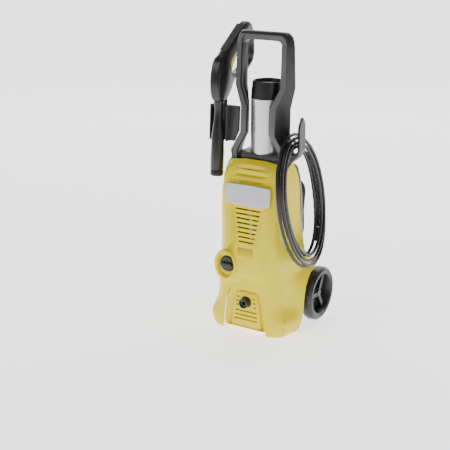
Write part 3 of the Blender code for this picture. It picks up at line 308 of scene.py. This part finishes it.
def finished_copy(name, width):
    node = frame["nodes"][name]
    mesh = node.data.copy()
    work = bmesh.new()
    work.from_mesh(mesh)
    bmesh.ops.remove_doubles(work, verts=work.verts, dist=2e-5)
    bmesh.ops.dissolve_limit(work, angle_limit=math.radians(0.6), verts=work.verts, edges=work.edges)
    work.to_mesh(mesh)
    work.free()
    mesh.shade_smooth()
    mesh.set_sharp_from_angle(angle=SMOOTH_BELOW)
    mesh.materials.clear()
    mesh.materials.append(look_of(name))
    made = bpy.data.objects.new(f"{name}_finish", mesh)
    bpy.context.scene.collection.objects.link(made)
    made.matrix_world = node.matrix_world.copy()
    if width:
        edge = made.modifiers.new("edges", "BEVEL")
        edge.width = width
        edge.segments = 2
        edge.limit_method = "ANGLE"
        edge.angle_limit = SMOOTH_BELOW
        edge.harden_normals = True
    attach(made, BODIES[name])
    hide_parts(name)


# Curves for cords


def smooth_route(route, count):
    """Points along a Catmull-Rom curve through the route's own points."""
    padded = [route[0] * 2 - route[1], *route, route[-1] * 2 - route[-2]]
    made = []
    for i in range(count):
        place = i / (count - 1) * (len(route) - 1)
        k = min(int(place), len(route) - 2)
        t = place - k
        a, b, c, d = padded[k : k + 4]
        square, cube = 2 * a - 5 * b + 4 * c - d, 3 * b - a - 3 * c + d
        made.append(0.5 * (2 * b + (c - a) * t + square * t**2 + cube * t**3))
    return made


def cord_object(name, points, diameter, look, resolution=3):
    curve = bpy.data.curves.new(name, "CURVE")
    curve.dimensions = "3D"
    curve.bevel_depth = diameter / 2
    curve.bevel_resolution = resolution
    curve.use_fill_caps = True
    spline = curve.splines.new("POLY")
    spline.points.add(len(points) - 1)
    for knot, p in zip(spline.points, points):
        knot.co = (*p, 1.0)
    spline.use_smooth = True
    curve.materials.append(look)
    made = bpy.data.objects.new(name, curve)
    bpy.context.scene.collection.objects.link(made)
    return made


def blend_steps(value, knots):
    """The value of a smooth function through (place, value) knots."""
    for (a, va), (b, vb) in zip(knots, knots[1:]):
        if value <= b:
            t = max(0.0, (value - a) / (b - a))
            t = t * t * (3 - 2 * t)
            return va + (vb - va) * t
    return knots[-1][1]


# Hose: an oval coil that leans back from the right-hand hook

HOSE_DIAMETER = 0.010
COIL_CENTRE = Vector((0.1340, -0.030, 0.4125)) + FOOTPRINT_SHIFT
COIL_HALF_SIZE = (0.1173, 0.1903)
COIL_LEAN = 0.238
COIL_SLANT = -0.10
COIL_START, COIL_END = 17.0, -44.0  # degrees, at the pump's fitting and at the gun's
COIL_TURNS = 5 + (COIL_START - COIL_END) / 360.0
# Where the hose lies in the bundle, as (turn, metres): outward from the machine, and from the oval's middle
LIES_ACROSS = [(0.0, -0.0142), (0.25, 0.0), (1.0, 0.0), (1.35, 0.0105), (2.9, 0.0105), (3.25, 0.0065),
               (3.8, 0.0065), (4.1, -0.0105), (4.6, -0.0105), (4.85, -0.0108), (COIL_TURNS, -0.0142)]
LIES_OUT = [(0.0, 0.0125), (0.25, 0.018), (1.0, 0.018), (1.35, 0.0095), (1.95, 0.0095), (2.3, -0.0055),
            (2.9, -0.0055), (3.25, -0.0175), (3.8, -0.0175), (4.1, -0.0165), (4.6, -0.0165), (4.85, -0.0035),
            (COIL_TURNS, 0.0125)]


def coil_point(angle, out, across):
    a, b = COIL_HALF_SIZE
    along = Vector((-a * math.sin(angle), b * math.cos(angle))).normalized()
    flat = Vector((a * math.cos(angle), b * math.sin(angle))) + Vector((along.y, -along.x)) * out
    flat = Matrix.Rotation(COIL_LEAN, 2) @ flat
    return COIL_CENTRE + Vector((across + COIL_SLANT * flat.y, flat.x, flat.y))


def hose():
    """From the pump's fitting round the bundle, outer turns first, and back to the gun's fitting."""
    count = int(COIL_TURNS * 40)
    points = []
    for i in range(count + 1):
        turn = COIL_TURNS * i / count
        angle = math.radians(COIL_START) - 2 * math.pi * turn
        free = min(1.0, 8.0 * turn, 8.0 * (COIL_TURNS - turn)) * (0.5 - 0.5 * math.sin(angle))
        sway = 0.0012 * math.sin(10.7 * turn + 0.6) + 0.0006 * math.sin(16.3 * turn)
        out = blend_steps(turn, LIES_OUT) + sway * free
        points.append(coil_point(angle, out, blend_steps(turn, LIES_ACROSS)))
    made = cord_object("hose", points, HOSE_DIAMETER, HOSE)
    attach(made, "machine")
    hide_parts("hose_coil")


# Mains lead: from the gland up into a hank of four layers on the cable hooks, and out at the top to the plug

LEAD_DIAMETER = 0.0075
LEAD_EXIT = Vector((-0.030, 0.1183, 0.150)) + FOOTPRINT_SHIFT
HANK_CENTRE = Vector((0.044, 0.085, 0.346)) + FOOTPRINT_SHIFT
HANK_STRAIGHT = 0.059  # half the length of the straight sides
LANES = [(radius, depth) for layer, depth in enumerate((-0.0105, -0.0035, 0.0035, 0.0105))
         for radius in ((0.0372, 0.0305, 0.0238) if layer % 2 == 0 else (0.0238, 0.0305, 0.0372))]
PLUG_TOP = Vector((-0.0165, 0.085, 0.352)) + FOOTPRINT_SHIFT


def hank_point(part, radius, depth):
    """A point of one turn of the hank: up the right side, over the top, down the left and round the bottom."""
    straight, curved = 2 * HANK_STRAIGHT, math.pi * radius
    s = part * 2 * (straight + curved)
    if s < straight:
        flat = (radius, s - HANK_STRAIGHT)
    elif s < straight + curved:
        a = (s - straight) / radius
        flat = (radius * math.cos(a), HANK_STRAIGHT + radius * math.sin(a))
    elif s < 2 * straight + curved:
        flat = (-radius, HANK_STRAIGHT - (s - straight - curved))
    else:
        a = math.pi + (s - 2 * straight - curved) / radius
        flat = (radius * math.cos(a), radius * math.sin(a) - HANK_STRAIGHT)
    return HANK_CENTRE + Vector((flat[0], depth, flat[1]))


def lead_run_in():
    """Straight back out of the gland, round a wide bend and up to the hank's lower right."""
    start = LEAD_EXIT + Vector((0.0, 0.010, 0.0))
    bend, slope = 0.033, Vector((0.707, 0.0, 0.707))
    points = [LEAD_EXIT, start]
    for i in range(1, 9):
        a = math.radians(13.5 * i)
        points.append(start + (slope * (1 - math.cos(a)) + Vector((0.0, math.sin(a), 0.0))) * bend)
    join = hank_point(0.0, *LANES[0])
    below = join + Vector((-0.004, 0.010, -0.030))
    bend_end = points[-1].copy()
    points.append(bend_end.lerp(below, 0.40))
    points.append(bend_end.lerp(below, 0.72))
    return [*points, join + Vector((-0.0012, 0.0040, -0.024))]


def lead_run_out():
    """Off the top of the hank to the left and down into the plug."""
    bend = 0.0302
    radius, depth = LANES[-1]
    corner = Vector((PLUG_TOP.x + bend, HANK_CENTRE.y, HANK_CENTRE.z + HANK_STRAIGHT + radius - bend))
    points = []
    for i in range(9):
        a = math.pi / 2 * (1 + i / 8)
        ease = 1 - i / 8
        back = depth * ease * ease * (3 - 2 * ease)
        points.append(corner + Vector((bend * math.cos(a), back, bend * math.sin(a))))
    return [*points, PLUG_TOP.lerp(points[-1], 0.5), PLUG_TOP - Vector((0.0, 0.0, 0.002))]


def mains_lead():
    points = smooth_route(lead_run_in(), 60)
    steps = 44
    straight, curved = 2 * HANK_STRAIGHT, math.pi * LANES[-1][0]
    last_share = (straight + curved / 2) / (2 * (straight + curved))
    before = LANES[0]
    for k, lane in enumerate(LANES):
        share = last_share if k == len(LANES) - 1 else 1.0
        for i in range(int(steps * share)):
            part = i / steps
            t = min(1.0, part / 0.34)
            t = t * t * (3 - 2 * t)
            radius, depth = (was + (now - was) * t for was, now in zip(before, lane))
            sway = 0.0007 * math.sin(7.3 * (k + part)) * min(1.0, (k + part) * 4)
            points.append(hank_point(part, radius + sway, depth + 0.6 * sway))
        before = lane
    points += lead_run_out()
    made = cord_object("mains_cord", points, LEAD_DIAMETER, LEAD, 2)
    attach(made, "machine")
    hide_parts("mains_hank")
    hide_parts("mains_lead")


camera()
studio()
dress_frame()
for piece, rounding in FINISH_WIDTHS.items():
    finished_copy(piece, rounding)
hose()
mains_lead()
